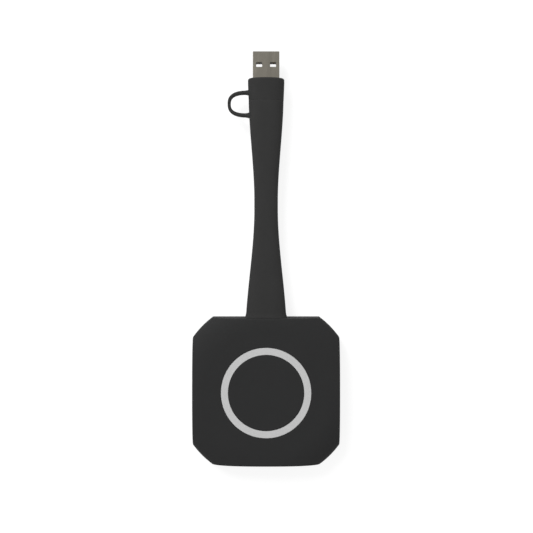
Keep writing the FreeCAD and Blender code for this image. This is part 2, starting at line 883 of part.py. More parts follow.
def make_screws():
    case_screws = []
    for x, y in case_screw_places():
        length = case_boss_z + case_screw_depth - case_seat_z - screw_head_gap
        case_screws.append(pan_screw(x, y, case_seat_z, case_head_radius, case_head_height,
                                     case_shank_radius, length))
    nodes["case_screws"] = Part.makeCompound(case_screws)
    board_screws = []
    for x, y in board_screw_places():
        length = board_thickness + board_screw_depth - screw_head_gap
        board_screws.append(pan_screw(x, y, board_z, board_head_radius, board_head_height,
                                      board_shank_radius, length))
    nodes["board_screws"] = Part.makeCompound(board_screws)


# Strap end with the reversible plug

def stadium(width, height, start_y, end_y):
    straight = width - height
    pill = slab(straight, height, start_y, end_y)
    for side in (-1, 1):
        pill = pill.fuse(rod(height / 2, start_y, end_y, side * straight / 2))
    return pill.removeSplitter()


def make_plug_end():
    core = rounded(slab(core_width, core_depth, core_start_y, strap_end_y), core_edge_radius, ALONG_Y)
    shell_root_y = strap_end_y - c_shell_root
    board_room_y = core_start_y + cable_hold_length
    room = slab(plug_board_width + 2 * core_wall, core_depth - 2 * core_wall, board_room_y, shell_root_y)
    cable_hole = rod(cable_radius + cable_hold_gap, core_start_y, board_room_y)
    shell_hole = stadium(c_shell_width, c_shell_height, shell_root_y, strap_end_y)
    nodes["plug_core"] = core.cut([room, cable_hole, shell_hole])
    board_start = board_room_y + plug_board_inset
    nodes["plug_board"] = slab(plug_board_width, plug_board_thickness, board_start, shell_root_y)
    inner_width = c_shell_width - 2 * c_shell_wall
    inner_height = c_shell_height - 2 * c_shell_wall
    shell = stadium(c_shell_width, c_shell_height, shell_root_y, c_plug_tip_y)
    shell = shell.cut(stadium(inner_width, inner_height, shell_root_y, c_plug_tip_y))
    nodes["plug_shell"] = shell
    liner = stadium(inner_width, inner_height, shell_root_y, c_plug_tip_y - c_shell_wall)
    slot = slab(c_slot_width, 2 * c_slot_half, c_plug_tip_y - c_slot_depth, c_plug_tip_y)
    nodes["plug_liner"] = liner.cut(slot)
    blades = []
    for index in range(c_contact_count):
        x = (index - (c_contact_count - 1) / 2) * c_contact_pitch
        for side in (-1, 1):
            z = side * (c_slot_half - c_contact_thickness / 2)
            blade_y = c_plug_tip_y - c_slot_depth
            length = c_slot_depth - 2 * c_contact_pitch
            blades.append(block(x, blade_y + length / 2, parting_z + z - c_contact_thickness / 2,
                                c_contact_width, length, c_contact_thickness))
    nodes["plug_contacts"] = Part.makeCompound(blades)


# Adapter that turns the reversible plug into a flat one

def make_housing():
    wires = [
        oval_wire(seam_width, seam_depth, housing_start_y),
        oval_wire(housing_width, housing_depth, housing_start_y + housing_grow_length),
        oval_wire(housing_width, housing_depth, housing_end_y + housing_end_radius),
    ]
    body = Part.makeLoft(wires, True, True)
    ball = Part.makeSphere(housing_end_crown, V(0, housing_end_y - housing_end_crown, parting_z))
    body = body.common(ball)
    rim = [edge for edge in body.Edges if edge.BoundBox.YMin > housing_end_y - 2 * housing_end_radius
           and edge.BoundBox.YLength > 1e-3]
    body = body.makeFillet(housing_end_radius, rim)
    flat_plug = slab(usb_a_width, usb_a_height, usb_a_back_y, usb_a_tip_y)
    flat_plug = rounded(flat_plug, usb_a_corner, ALONG_Y)
    socket = socket_outline(c_socket_wall, housing_start_y, usb_a_back_y)
    nodes["adapter_housing"] = body.cut([flat_plug, socket, tether_anchor(1, tether_fit)])


def socket_outline(grow, start_y, end_y):
    width = c_shell_width + 2 * (c_fit + grow)
    height = c_shell_height + 2 * (c_fit + grow)
    return stadium(width, height, start_y, end_y)


def make_socket():
    shell = socket_outline(c_socket_wall, housing_start_y, c_base_end_y)
    nodes["socket_shell"] = shell.cut(socket_outline(0, housing_start_y, c_base_end_y))
    base = socket_outline(0, c_base_y, c_base_end_y)
    tongue_y = housing_start_y + c_tongue_tip_setback
    tongue = slab(c_tongue_width, c_tongue_thickness, tongue_y, c_base_y)
    nodes["socket_tongue"] = joined(base, [tongue])
    nodes["adapter_board"] = slab(adapter_board_width, adapter_board_thickness,
                                  c_base_end_y, adapter_board_end_y)


def make_flat_plug():
    shell = rounded(slab(usb_a_width, usb_a_height, usb_a_back_y, usb_a_tip_y), usb_a_corner, ALONG_Y)
    shell = shell.cut(slab(usb_a_inner_width, usb_a_inner_height, usb_a_back_y, usb_a_tip_y))
    windows = []
    reliefs = []
    window_y = usb_a_tip_y - window_from_tip - window_length / 2
    for side in (-1, 1):
        x = side * window_spacing / 2
        window = block(x, window_y, parting_z - usb_a_height, window_width, window_length, 2 * usb_a_height)
        windows.append(rounded(window, window_corner, ALONG_Z))
        reliefs.append(block(x, window_y, tongue_z, window_width + 2 * relief_side,
                             window_length + 2 * relief_side, tongue_thickness))
    nodes["flat_plug_shell"] = shell.cut(windows)
    base = slab(usb_a_inner_width, usb_a_inner_height, adapter_board_end_y,
                adapter_board_end_y + usb_a_base_depth)
    tongue_end = usb_a_tip_y - tongue_tip_setback
    tongue_length = tongue_end - adapter_board_end_y
    tongue = block(0, adapter_board_end_y + tongue_length / 2, tongue_z,
                   usb_a_inner_width - 2 * tongue_side_gap, tongue_length, tongue_thickness)
    nodes["flat_plug_tongue"] = joined(base, [tongue]).cut(reliefs)
    blades = []
    blade_y = tongue_end - usb_a_contact_setback - usb_a_contact_length / 2
    for index in range(usb_a_contact_count):
        x = (index - (usb_a_contact_count - 1) / 2) * usb_a_contact_pitch
        blades.append(block(x, blade_y, tongue_z + tongue_thickness, usb_a_contact_width,
                            usb_a_contact_length, usb_a_contact_thickness))
    nodes["flat_plug_contacts"] = Part.makeCompound(blades)


# Tether loop

def tether_anchor(side, grow):
    # The end of one arm, side 1 in the adapter and side -1 in the strap
    arm_y = tether_centre_y + side * (tether_half_height - tether_arm_thickness / 2)
    size = V(tether_anchor_depth, tether_arm_thickness, tether_width)
    grown = size + V(2 * grow, 2 * grow, 2 * grow)
    corner = V(tether_root_x, arm_y, parting_z) - V(grow, grown.y / 2, grown.z / 2)
    return Part.makeBox(grown.x, grown.y, grown.z, corner)


def half_oval(reach, half_height):
    # Half a squared oval that bulges away from the strap, with straight sides that reach into it
    centre = V(tether_root_x, tether_centre_y, parting_z - tether_width / 2)
    points = []
    for step in range(outline_points + 1):
        turn = math.pi * (step / outline_points - 0.5)
        out, up = squared_point(turn, tether_squareness)
        points.append(centre + V(-out * reach, up * half_height, 0))
    curve = Part.BSplineCurve()
    curve.interpolate(points)
    inwards = V(tether_anchor_depth, 0, 0)
    bottom, top = points[0], points[-1]
    corners = [bottom, bottom + inwards, top + inwards, top]
    lines = [Part.makeLine(start, end) for start, end in zip(corners, corners[1:])]
    face = Part.Face(Part.Wire(Part.__sortEdges__([curve.toShape()] + lines)))
    return face.extrude(ALONG_Z * tether_width)


def make_tether():
    outer = half_oval(tether_reach, tether_half_height)
    inner = half_oval(tether_reach - tether_apex_thickness, tether_half_height - tether_arm_thickness)
    loop = outer.cut(inner)
    long_edges = [edge for edge in loop.Edges if edge.BoundBox.XLength > tether_anchor_depth / 2]
    nodes["tether"] = loop.makeFillet(tether_edge_radius, long_edges)


def make_all():
    make_front_cover()
    make_back_cover()
    make_foot_ring()
    make_light_ring()
    make_button_cap()
    make_light_shield()
    make_leds()
    make_switch()
    make_board()
    make_board_parts()
    make_heat_path()
    make_antennas()
    make_wire_connector()
    make_screws()
    make_strap()
    make_plug_end()
    make_housing()
    make_socket()
    make_flat_plug()
    make_tether()


make_all()
os.makedirs("parts", exist_ok=True)
for name, shape in nodes.items():
    shape.exportStep("parts/" + name + ".step")
    print(name, len(shape.Solids), round(shape.Volume, 2), shape.isValid())
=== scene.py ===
# Wireless presentation dongle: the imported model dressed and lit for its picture
import json
import math

import bmesh
import bpy
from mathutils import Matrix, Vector

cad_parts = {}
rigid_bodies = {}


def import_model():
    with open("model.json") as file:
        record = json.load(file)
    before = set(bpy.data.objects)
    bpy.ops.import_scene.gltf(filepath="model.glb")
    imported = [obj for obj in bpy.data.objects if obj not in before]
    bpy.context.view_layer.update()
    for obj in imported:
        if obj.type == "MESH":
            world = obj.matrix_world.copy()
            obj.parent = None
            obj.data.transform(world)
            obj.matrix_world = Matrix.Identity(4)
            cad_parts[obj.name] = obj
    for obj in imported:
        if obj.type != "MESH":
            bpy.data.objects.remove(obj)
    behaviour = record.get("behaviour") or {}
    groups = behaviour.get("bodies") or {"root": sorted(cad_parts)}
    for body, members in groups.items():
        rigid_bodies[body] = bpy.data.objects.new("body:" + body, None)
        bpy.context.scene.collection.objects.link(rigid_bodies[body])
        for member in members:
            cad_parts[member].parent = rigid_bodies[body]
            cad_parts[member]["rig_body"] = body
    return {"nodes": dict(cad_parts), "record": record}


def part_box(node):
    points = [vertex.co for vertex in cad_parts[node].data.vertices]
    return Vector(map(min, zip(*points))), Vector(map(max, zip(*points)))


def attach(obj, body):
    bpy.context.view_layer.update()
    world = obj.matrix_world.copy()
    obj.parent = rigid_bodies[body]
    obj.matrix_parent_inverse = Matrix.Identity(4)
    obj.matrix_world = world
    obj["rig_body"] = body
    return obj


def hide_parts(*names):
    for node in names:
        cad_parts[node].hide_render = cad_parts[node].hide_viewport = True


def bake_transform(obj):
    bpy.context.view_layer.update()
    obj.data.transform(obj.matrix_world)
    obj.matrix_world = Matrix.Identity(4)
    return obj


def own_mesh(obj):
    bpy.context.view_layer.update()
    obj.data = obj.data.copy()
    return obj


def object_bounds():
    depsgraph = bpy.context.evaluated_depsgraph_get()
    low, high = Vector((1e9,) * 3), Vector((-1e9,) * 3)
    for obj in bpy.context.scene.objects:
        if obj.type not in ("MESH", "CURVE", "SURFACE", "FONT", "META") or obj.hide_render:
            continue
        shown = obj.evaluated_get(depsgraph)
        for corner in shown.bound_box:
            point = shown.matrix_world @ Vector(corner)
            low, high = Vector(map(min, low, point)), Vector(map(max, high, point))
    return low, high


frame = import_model()
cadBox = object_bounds()
nodes = frame["nodes"]
mm = 0.001
print("frame loaded with", len(nodes), "nodes")


# Node helpers

def join(tree, value, socket):
    # Links a value that comes from a node, or writes a plain colour or number into the socket
    if isinstance(value, bpy.types.NodeSocket):
        tree.links.new(value, socket)
    elif isinstance(value, tuple):
        socket.default_value = (*value, 1)
    else:
        socket.default_value = value


noiseDetail = {"drift": 3, "speckle": 1, "gloss": 5, "swell": 1, "grain": 2, "wear": 3, "lines": 2}
noiseRoughness = 0.55
noiseRange = (0.3, 0.7)     # nearly all of a noise's values lie between these


def addNoise(tree, coords, size, detail):
    # Noise whose blobs are about one size across, in metres
    noise = tree.nodes.new("ShaderNodeTexNoise")
    noise.inputs["Scale"].default_value = 1 / size
    noise.inputs["Detail"].default_value = noiseDetail[detail]
    noise.inputs["Roughness"].default_value = noiseRoughness
    tree.links.new(coords, noise.inputs["Vector"])
    return noise.outputs["Fac"]


def spread(tree, value, low, high, source=noiseRange):
    # Stretches a value so that the source range lands on low to high
    fit = tree.nodes.new("ShaderNodeMapRange")
    fit.inputs["From Min"].default_value = source[0]
    fit.inputs["From Max"].default_value = source[1]
    fit.inputs["To Min"].default_value = low
    fit.inputs["To Max"].default_value = high
    tree.links.new(value, fit.inputs["Value"])
    return fit.outputs["Result"]


def combine(tree, operation, first, second):
    result = tree.nodes.new("ShaderNodeMath")
    result.operation = operation
    tree.links.new(first, result.inputs[0])
    tree.links.new(second, result.inputs[1])
    return result.outputs[0]


mixPlaces = {       # a Mix node's sockets by kind: factor, first, second and result
    "FLOAT": (0, 2, 3, 0),
    "RGBA": (0, 6, 7, 2),
}


def blendPair(tree, kind, *values):
    mix = tree.nodes.new("ShaderNodeMix")
    mix.data_type = kind
    *places, result = mixPlaces[kind]
    for place, value in zip(places, values):
        join(tree, value, mix.inputs[place])
    return mix.outputs[result]


def blendValues(tree, factor, first, second):
    return blendPair(tree, "FLOAT", factor, first, second)


def blendColours(tree, factor, first, second):
    return blendPair(tree, "RGBA", factor, first, second)


def blendShaders(tree, factor, first, second):
    mix = tree.nodes.new("ShaderNodeMixShader")
    tree.links.new(factor, mix.inputs["Fac"])
    tree.links.new(first, mix.inputs[1])
    tree.links.new(second, mix.inputs[2])
    return mix.outputs[0]


# Camera, lamps and table

picture = {
    "pixels": 533,
    "mmPerPixel": 0.4544,               # at the strap's middle height
    "middleHeight": 7.0,
    "originPixel": (266.1, 390.66),     # where the button's axis meets that height
    "footPixel": (266.3, 230.0),        # the point straight below the camera
    "distance": 332.0,                  # from the camera down to that height
    "sensor": 36.0,
    "nearest": 0.01,                    # nothing closer than this is drawn, in metres
}


def placeCamera():
    pixels, scale = picture["pixels"], picture["mmPerPixel"]
    footX, footY = picture["footPixel"]
    originX, originY = picture["originPixel"]
    data = bpy.data.cameras.new("camera")
    data.sensor_width = picture["sensor"]
    data.lens = picture["sensor"] * picture["distance"] / (pixels * scale)
    data.shift_x = (pixels / 2 - footX) / pixels
    data.shift_y = (footY - pixels / 2) / pixels
    data.clip_start = picture["nearest"]
    camera = bpy.data.objects.new("camera", data)
    height = picture["middleHeight"] + picture["distance"]
    camera.location = Vector(((footX - originX) * scale, (originY - footY) * scale, height)) * mm
    bpy.context.scene.collection.objects.link(camera)
    bpy.context.scene.camera = camera


lamps = {       # places and sizes in metres
    "keyLamp": {"at": (-0.50, 0.80, 0.75), "size": 0.60, "watts": 10.5},
    "sideLamp": {"at": (0.85, 0.10, 0.60), "size": 0.70, "watts": 0.4},
    "nearLamp": {"at": (0.10, -0.75, 0.60), "size": 0.60, "watts": 0.2},
}
lampTarget = Vector((0, 0.06, 0))


def placeLamps():
    for name, lamp in lamps.items():
        data = bpy.data.lights.new(name, "AREA")
        data.shape = "DISK"
        data.size = lamp["size"]
        data.energy = lamp["watts"]
        fitting = bpy.data.objects.new(name, data)
        fitting.location = lamp["at"]
        aim = lampTarget - fitting.location
        fitting.rotation_euler = aim.to_track_quat("-Z", "Y").to_euler()
        bpy.context.scene.collection.objects.link(fitting)


def seenDirectly(tree):
    # 1 for rays that should meet the plain white studio: straight, mirrored or let through
    rays = tree.nodes.new("ShaderNodeLightPath").outputs
    straightOrMirrored = combine(tree, "MAXIMUM", rays["Is Camera Ray"], rays["Is Glossy Ray"])
    return combine(tree, "MAXIMUM", straightOrMirrored, rays["Is Transmission Ray"])


studio = {
    "ambient": 0.46, "background": 1.0,
    "tableGlow": 0.82, "tableColour": 0.30,     # what the camera sees of the table
    "tableBounce": 0.80,                        # what lights the object from below
    "fade": (0.20, 0.45),                       # how far out the table turns plain white
    "tableHalf": 6.0, "tableDrop": 0.00002,
}


def brighten(node, strength):
    node.inputs["Color"].default_value = (1, 1, 1, 1)
    node.inputs["Strength"].default_value = strength
    return node.outputs[0]


def paintWorld():
    world = bpy.data.worlds.new("studio")
    bpy.context.scene.world = world
    world.use_nodes = True
    tree = world.node_tree
    ambient = brighten(tree.nodes["Background"], studio["ambient"])
    white = brighten(tree.nodes.new("ShaderNodeBackground"), studio["background"])
    both = blendShaders(tree, seenDirectly(tree), ambient, white)
    tree.links.new(both, tree.nodes["World Output"].inputs["Surface"])


def addDiffuse(tree, colour):
    paint = tree.nodes.new("ShaderNodeBsdfDiffuse")
    join(tree, colour, paint.inputs["Color"])
    return paint.outputs[0]


def paintTable():
    # White: it glows a little for the camera, takes the object's shadow, and is plain white far out
    finish = bpy.data.materials.new("tableWhite")
    finish.use_nodes = True
    tree = finish.node_tree
    tree.nodes.remove(tree.nodes["Principled BSDF"])
    away = tree.nodes.new("ShaderNodeVectorMath")
    away.operation = "LENGTH"
    tree.links.new(tree.nodes.new("ShaderNodeTexCoord").outputs["Object"], away.inputs[0])
    far = spread(tree, away.outputs["Value"], 0, 1, source=studio["fade"])
    glow = tree.nodes.new("ShaderNodeEmission")
    glowStrength = blendValues(tree, far, studio["tableGlow"], studio["background"])
    join(tree, glowStrength, glow.inputs["Strength"])
    near = (studio["tableColour"],) * 3
    seen = tree.nodes.new("ShaderNodeAddShader")
    seenColour = blendColours(tree, far, near, (0.0, 0.0, 0.0))
    tree.links.new(addDiffuse(tree, seenColour), seen.inputs[0])
    tree.links.new(glow.outputs[0], seen.inputs[1])
    bounce = addDiffuse(tree, (studio["tableBounce"],) * 3)
    both = blendShaders(tree, seenDirectly(tree), bounce, seen.outputs[0])
    tree.links.new(both, tree.nodes["Material Output"].inputs["Surface"])
    return finish


def layTable():
    bm = bmesh.new()
    bmesh.ops.create_grid(bm, x_segments=1, y_segments=1, size=studio["tableHalf"])
    mesh = bpy.data.meshes.new("table")
    bm.to_mesh(mesh)
    bm.free()
    mesh.materials.append(paintTable())
    table = bpy.data.objects.new("table", mesh)
    table.location.z = cadBox[0].z - studio["tableDrop"]
    bpy.context.scene.collection.objects.link(table)


bpy.context.scene.view_settings.view_transform = "Standard"
placeCamera()
placeLamps()
paintWorld()
layTable()
print("camera, lamps and table are in place")


# Finishes

def stretchCoords(tree, coords, scale):
    mapping = tree.nodes.new("ShaderNodeMapping")
    mapping.inputs["Scale"].default_value = scale
    tree.links.new(coords, mapping.inputs["Vector"])
    return mapping.outputs["Vector"]


def addBump(tree, height, depth, normal=None):
    # Relief of a depth in metres, on top of another normal if one is given
    bump = tree.nodes.new("ShaderNodeBump")
    bump.inputs["Distance"].default_value = depth
    tree.links.new(height, bump.inputs["Height"])
    if normal is not None:
        tree.links.new(normal, bump.inputs["Normal"])
    return bump.outputs["Normal"]


edgeSearch = {
    "samples": 6,
    "agreement": (0.82, 0.985),     # of the rounded normal with the plain one, on and off an edge
    "patches": (0.4, 0.6),          # the noise over which an edge goes from fresh to rubbed
}


def findEdges(tree, radius):
    # The normal rounded over each edge, and a value that rises from 0 to 1 towards the edge
    bevel = tree.nodes.new("ShaderNodeBevel")
    bevel.samples = edgeSearch["samples"]
    bevel.inputs["Radius"].default_value = radius
    plain = tree.nodes.new("ShaderNodeNewGeometry")
    agree = tree.nodes.new("ShaderNodeVectorMath")
    agree.operation = "DOT_PRODUCT"
    tree.links.new(bevel.outputs["Normal"], agree.inputs[0])
    tree.links.new(plain.outputs["Normal"], agree.inputs[1])
    nearEdge = spread(tree, agree.outputs["Value"], 1, 0, source=edgeSearch["agreement"])
    return bevel.outputs["Normal"], nearEdge


def addWear(tree, coords, wear, colour, gloss):
    # Edges rubbed in patches: a little lighter and smoother than the rest
    normal, nearEdge = findEdges(tree, wear["radius"])
    noise = addNoise(tree, coords, wear["patchSize"], "wear")
    patches = spread(tree, noise, wear["least"], 1, source=edgeSearch["patches"])
    rubbed = combine(tree, "MULTIPLY", nearEdge, patches)
    colour = blendColours(tree, rubbed, colour, wear["colour"])
    gloss = blendValues(tree, rubbed, gloss, wear["roughness"])
    return normal, colour, gloss


def addScratches(tree, coords, scratches, colour, gloss):
    # Fine lines drawn out along the piece, where the noise is high
    drawn = stretchCoords(tree, coords, scratches["stretch"])
    lines = addNoise(tree, drawn, scratches["size"], "lines")
    marked = spread(tree, lines, 0, scratches["strength"], source=scratches["noise"])
    colour = blendColours(tree, marked, colour, scratches["colour"])
    gloss = blendValues(tree, marked, gloss, scratches["roughness"])
    return colour, gloss


def addTraces(tree, coords, traces, colour):
    # Copper tracks that show as lighter lines under the board's lacquer
    brick = tree.nodes.new("ShaderNodeTexBrick")
    brick.inputs["Scale"].default_value = 1 / traces["pitch"]
    brick.inputs["Mortar Size"].default_value = traces["width"]
    brick.inputs["Mortar Smooth"].default_value = traces["softness"]
    tree.links.new(coords, brick.inputs["Vector"])
    return blendColours(tree, brick.outputs["Fac"], colour, traces["colour"]), brick.outputs["Fac"]


speckleShare = 0.35     # of the tone, where a look gives no share of its own


def makeFinish(name, look):
    # Drift and speckle of colour, patches of gloss, a slow swell and a fine grain in relief.
    # All sizes and depths of a look are in metres
    finish = bpy.data.materials.new(name)
    finish.use_nodes = True
    tree = finish.node_tree
    shader = tree.nodes["Principled BSDF"]
    for socket, value in look.get("shader", {}).items():
        shader.inputs[socket].default_value = value
    coords = tree.nodes.new("ShaderNodeTexCoord").outputs["Object"]
    drawn = stretchCoords(tree, coords, look["stretch"]) if "stretch" in look else coords
    drift = addNoise(tree, drawn, look["driftSize"], "drift")
    speckle = addNoise(tree, drawn, 2 * look["grainSize"], "speckle")
    share = look.get("speckle", speckleShare)
    tone = spread(tree, blendValues(tree, share, drift, speckle), 0, 1)
    colour = blendColours(tree, tone, look["dark"], look["light"])
    gloss = spread(tree, addNoise(tree, drawn, look["patchSize"], "gloss"), *look["roughness"])
    normal = None
    if "scratches" in look:
        colour, gloss = addScratches(tree, coords, look["scratches"], colour, gloss)
    if "wear" in look:
        normal, colour, gloss = addWear(tree, coords, look["wear"], colour, gloss)
    if "traces" in look:
        colour, height = addTraces(tree, coords, look["traces"], colour)
        normal = addBump(tree, height, look["traces"]["depth"], normal)
    if "swellSize" in look:
        swell = addNoise(tree, coords, look["swellSize"], "swell")
        normal = addBump(tree, swell, look["swellDepth"], normal)
    grain = addNoise(tree, drawn, look["grainSize"], "grain")
    normal = addBump(tree, grain, look["grainDepth"], normal)
    tree.links.new(colour, shader.inputs["Base Color"])
    tree.links.new(gloss, shader.inputs["Roughness"])
    tree.links.new(normal, shader.inputs["Normal"])
    return finish


podLook = {     # black plastic out of a spark-eroded mould
    "dark": (0.0219, 0.0221, 0.0223), "light": (0.0237, 0.0239, 0.0241), "driftSize": 0.014,
    "roughness": (0.68, 0.73), "patchSize": 0.002,
    "grainSize": 0.00024, "grainDepth": 0.0001, "swellSize": 0.014, "swellDepth": 0.000004,
    "wear": {"radius": 0.0003, "colour": (0.033, 0.033, 0.033), "roughness": 0.58,
             "patchSize": 0.0025, "least": 0.5},
    "shader": {"Specular IOR Level": 0.12},
}
buttonLook = {**podLook, "roughness": (0.66, 0.72), "patchSize": 0.003}     # smoothed by thumbs
strapLook = {   # soft matte rubber
    "dark": (0.0282, 0.0282, 0.0280), "light": (0.0308, 0.0308, 0.0305), "driftSize": 0.010,
    "roughness": (0.68, 0.78), "patchSize": 0.003,
    "grainSize": 0.00015, "grainDepth": 0.00005, "swellSize": 0.008, "swellDepth": 0.000005,
    "wear": {"radius": 0.0002, "colour": (0.044, 0.044, 0.043), "roughness": 0.6,
             "patchSize": 0.002, "least": 0.2},
    "shader": {"Specular IOR Level": 0.13},
}
adapterLook = {     # the same rubber, a shade darker
    **strapLook, "dark": (0.0266, 0.0266, 0.0264), "light": (0.0290, 0.0290, 0.0287),
}
ringLook = {    # milky diffuser
    "dark": (0.548, 0.548, 0.548), "light": (0.580, 0.580, 0.580), "driftSize": 0.008,
    "roughness": (0.38, 0.46), "patchSize": 0.003, "speckle": 0.5,
    "grainSize": 0.00018, "grainDepth": 0.000006, "swellSize": 0.006, "swellDepth": 0.000008,
    "shader": {"Specular IOR Level": 0.3, "Subsurface Weight": 0.15,
               "Subsurface Radius": (1.0, 1.0, 1.0), "Subsurface Scale": 0.0006},
}
shellLook = {   # nickel-plated sheet, drawn along the plug
    "dark": (0.140, 0.130, 0.110), "light": (0.166, 0.155, 0.131), "driftSize": 0.004,
    "roughness": (0.30, 0.42), "patchSize": 0.0012, "stretch": (1.0, 0.10, 1.0),
    "grainSize": 0.00009, "grainDepth": 0.000003,
    "scratches": {"stretch": (1.0, 0.02, 1.0), "size": 0.00007, "noise": (0.60, 0.70),
                  "strength": 0.5, "colour": (0.26, 0.245, 0.21), "roughness": 0.22},
    "wear": {"radius": 0.00012, "colour": (0.19, 0.178, 0.152), "roughness": 0.28,
             "patchSize": 0.001, "least": 0.3},
    "shader": {"Metallic": 1.0, "Specular Tint": (0.15, 0.15, 0.15, 1)},
}
plastic = {     # plain moulded plastic for the pieces inside
    "tones": (0.94, 1.06), "glossDrift": 0.06, "driftSize": 0.004, "patchSize": 0.0015,
    "grainDepth": 0.000015, "shader": {"Specular IOR Level": 0.35},
}
metal = {       # rolled or plated sheet, its grain drawn out along the dongle
    "tones": (0.86, 1.06), "glossDrift": 0.07, "driftSize": 0.003, "patchSize": 0.001,
    "stretch": (1.0, 0.15, 1.0), "grainSize": 0.00012, "grainDepth": 0.000004,
    "shader": {"Metallic": 1.0},
}


def tintLook(base, colour, roughness, **more):
    # The base look in one colour, with its tones and its gloss drifting about a middle
    dark, light = (tuple(part * tone for part in colour) for tone in base["tones"])
    low, high = roughness - base["glossDrift"], roughness + base["glossDrift"]
    return {**base, "dark": dark, "light": light, "roughness": (low, high), **more}


def plasticLook(colour, roughness=0.5, grain=0.0003):
    return tintLook(plastic, colour, roughness, grainSize=grain)


def metalLook(colour, roughness):
    return tintLook(metal, colour, roughness)


boardLook = {
    **plasticLook((0.012, 0.070, 0.034), 0.3),
    "traces": {"pitch": 0.0016, "width": 0.035, "softness": 0.2, "colour": (0.035, 0.16, 0.07),
               "depth": 0.00002},
}
looks = {
    "pod_plastic": podLook,
    "button_plastic": buttonLook,
    "ring_diffuser": ringLook,
    "shield_white": plasticLook((0.80, 0.80, 0.79), 0.45),
    "led_lens": plasticLook((0.85, 0.82, 0.55), 0.2),
    "switch_black": plasticLook((0.02, 0.02, 0.02)),
    "sheet_steel": metalLook((0.60, 0.60, 0.58), 0.28),
    "screw_steel": metalLook((0.35, 0.35, 0.34), 0.35),
    "board_laminate": boardLook,
    "chip_resin": plasticLook((0.025, 0.025, 0.027), 0.55, 0.00012),
    "inductor_ferrite": plasticLook((0.09, 0.09, 0.095), 0.6, 0.00015),
    "ceramic_tan": plasticLook((0.35, 0.22, 0.12), 0.5, 0.0001),
    "thermal_rubber": plasticLook((0.28, 0.33, 0.38), 0.7),
    "spreader_aluminium": metalLook((0.75, 0.75, 0.76), 0.35),
    "antenna_film": metalLook((0.55, 0.30, 0.12), 0.4),
    "contact_gold": metalLook((0.83, 0.62, 0.28), 0.22),
    "connector_white": plasticLook((0.72, 0.70, 0.64), 0.4),
    "wire_jacket": plasticLook((0.30, 0.05, 0.04), 0.45),
    "foot_rubber": plasticLook((0.022, 0.022, 0.022), 0.75, 0.00016),
    "strap_rubber": strapLook,
    "cable_jacket": plasticLook((0.015, 0.015, 0.015), 0.45),
    "core_plastic": plasticLook((0.04, 0.04, 0.04), 0.5),
    "liner_plastic": plasticLook((0.02, 0.02, 0.02), 0.45),
    "adapter_plastic": adapterLook,
    "plug_steel": shellLook,
    "tongue_plastic": plasticLook((0.42, 0.41, 0.39), 0.45),
    "tether_rubber": strapLook,
}
finishes = {slotName: makeFinish(slotName, look) for slotName, look in looks.items()}
slotOf = {part["node"]: part["material_slot"] for part in frame["record"]["subparts"]}


def coatNodes():
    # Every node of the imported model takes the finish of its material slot
    for nodeName, slotName in slotOf.items():
        for place in nodes[nodeName].material_slots:
            place.material = finishes[slotName]


coatNodes()
print("finishes made:", len(finishes))


# New pieces

sharpAngle = math.radians(35)       # edges sharper than this stay crisp


def finishPiece(name, bm, slotName):
    bmesh.ops.recalc_face_normals(bm, faces=bm.faces)
    mesh = bpy.data.meshes.new(name)
    bm.to_mesh(mesh)
    bm.free()
    mesh.polygons.foreach_set("use_smooth", [True] * len(mesh.polygons))
    mesh.set_sharp_from_angle(angle=sharpAngle)
    mesh.materials.append(finishes[slotName])
    piece = bpy.data.objects.new(name, mesh)
    bpy.context.scene.collection.objects.link(piece)
    return piece


mergeDistance = 0.0001 * mm


def copyNode(nodeName):
    bm = bmesh.new()
    bm.from_mesh(nodes[nodeName].data)
    bmesh.ops.remove_doubles(bm, verts=bm.verts, dist=mergeDistance)
    return bm


# Hard pieces whose sharp edges get a real radius

softening = {       # width of each piece's rounding in mm
    "plugSleeve": {"node": "flat_plug_shell", "width": 0.07},
    "plugTongue": {"node": "flat_plug_tongue", "width": 0.06},
    "plugPads": {"node": "flat_plug_contacts", "width": 0.04},
    "innerPlugSleeve": {"node": "plug_shell", "width": 0.05},
    "lightRing": {"node": "light_ring", "width": 0.06},
    "footRing": {"node": "foot_ring", "width": 0.05},
    "plugCore": {"node": "plug_core", "width": 0.06},
}
rounding = {"crease": math.radians(30), "flat": math.radians(0.5), "segments": 2}


def softenPiece(name, soft):
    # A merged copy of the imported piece, bevelled along its creases
    source = nodes[soft["node"]]
    bm = copyNode(soft["node"])
    bmesh.ops.dissolve_limit(bm, angle_limit=rounding["flat"], verts=bm.verts, edges=bm.edges)
    creases = [edge for edge in bm.edges if edge.calc_face_angle(0) > rounding["crease"]]
    bmesh.ops.bevel(bm, geom=creases, offset=soft["width"] * mm, offset_type="OFFSET",
                    segments=rounding["segments"], profile=0.5, affect="EDGES",
                    clamp_overlap=True, material=-1)
    piece = finishPiece(name, bm, slotOf[soft["node"]])
    flats = piece.modifiers.new("flatFaces", "WEIGHTED_NORMAL")     # wide faces keep one shade
    flats.keep_sharp = True
    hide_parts(soft["node"])
    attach(piece, source["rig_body"])


for softName, soft in softening.items():
    softenPiece(softName, soft)
print("hard pieces softened:", len(softening))


# The switch's sprung dome under the plunger, as a merged copy with a mesh of its own

clickDome = {"node": "switch_dome", "joint": "button_press", "keep": 0.5}


def makeClickDome():
    piece = finishPiece("clickDome", copyNode(clickDome["node"]), slotOf[clickDome["node"]])
    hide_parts(clickDome["node"])
    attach(piece, nodes[clickDome["node"]]["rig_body"])
    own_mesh(piece)


makeClickDome()
print("click dome made")


# Strap, cable and tether

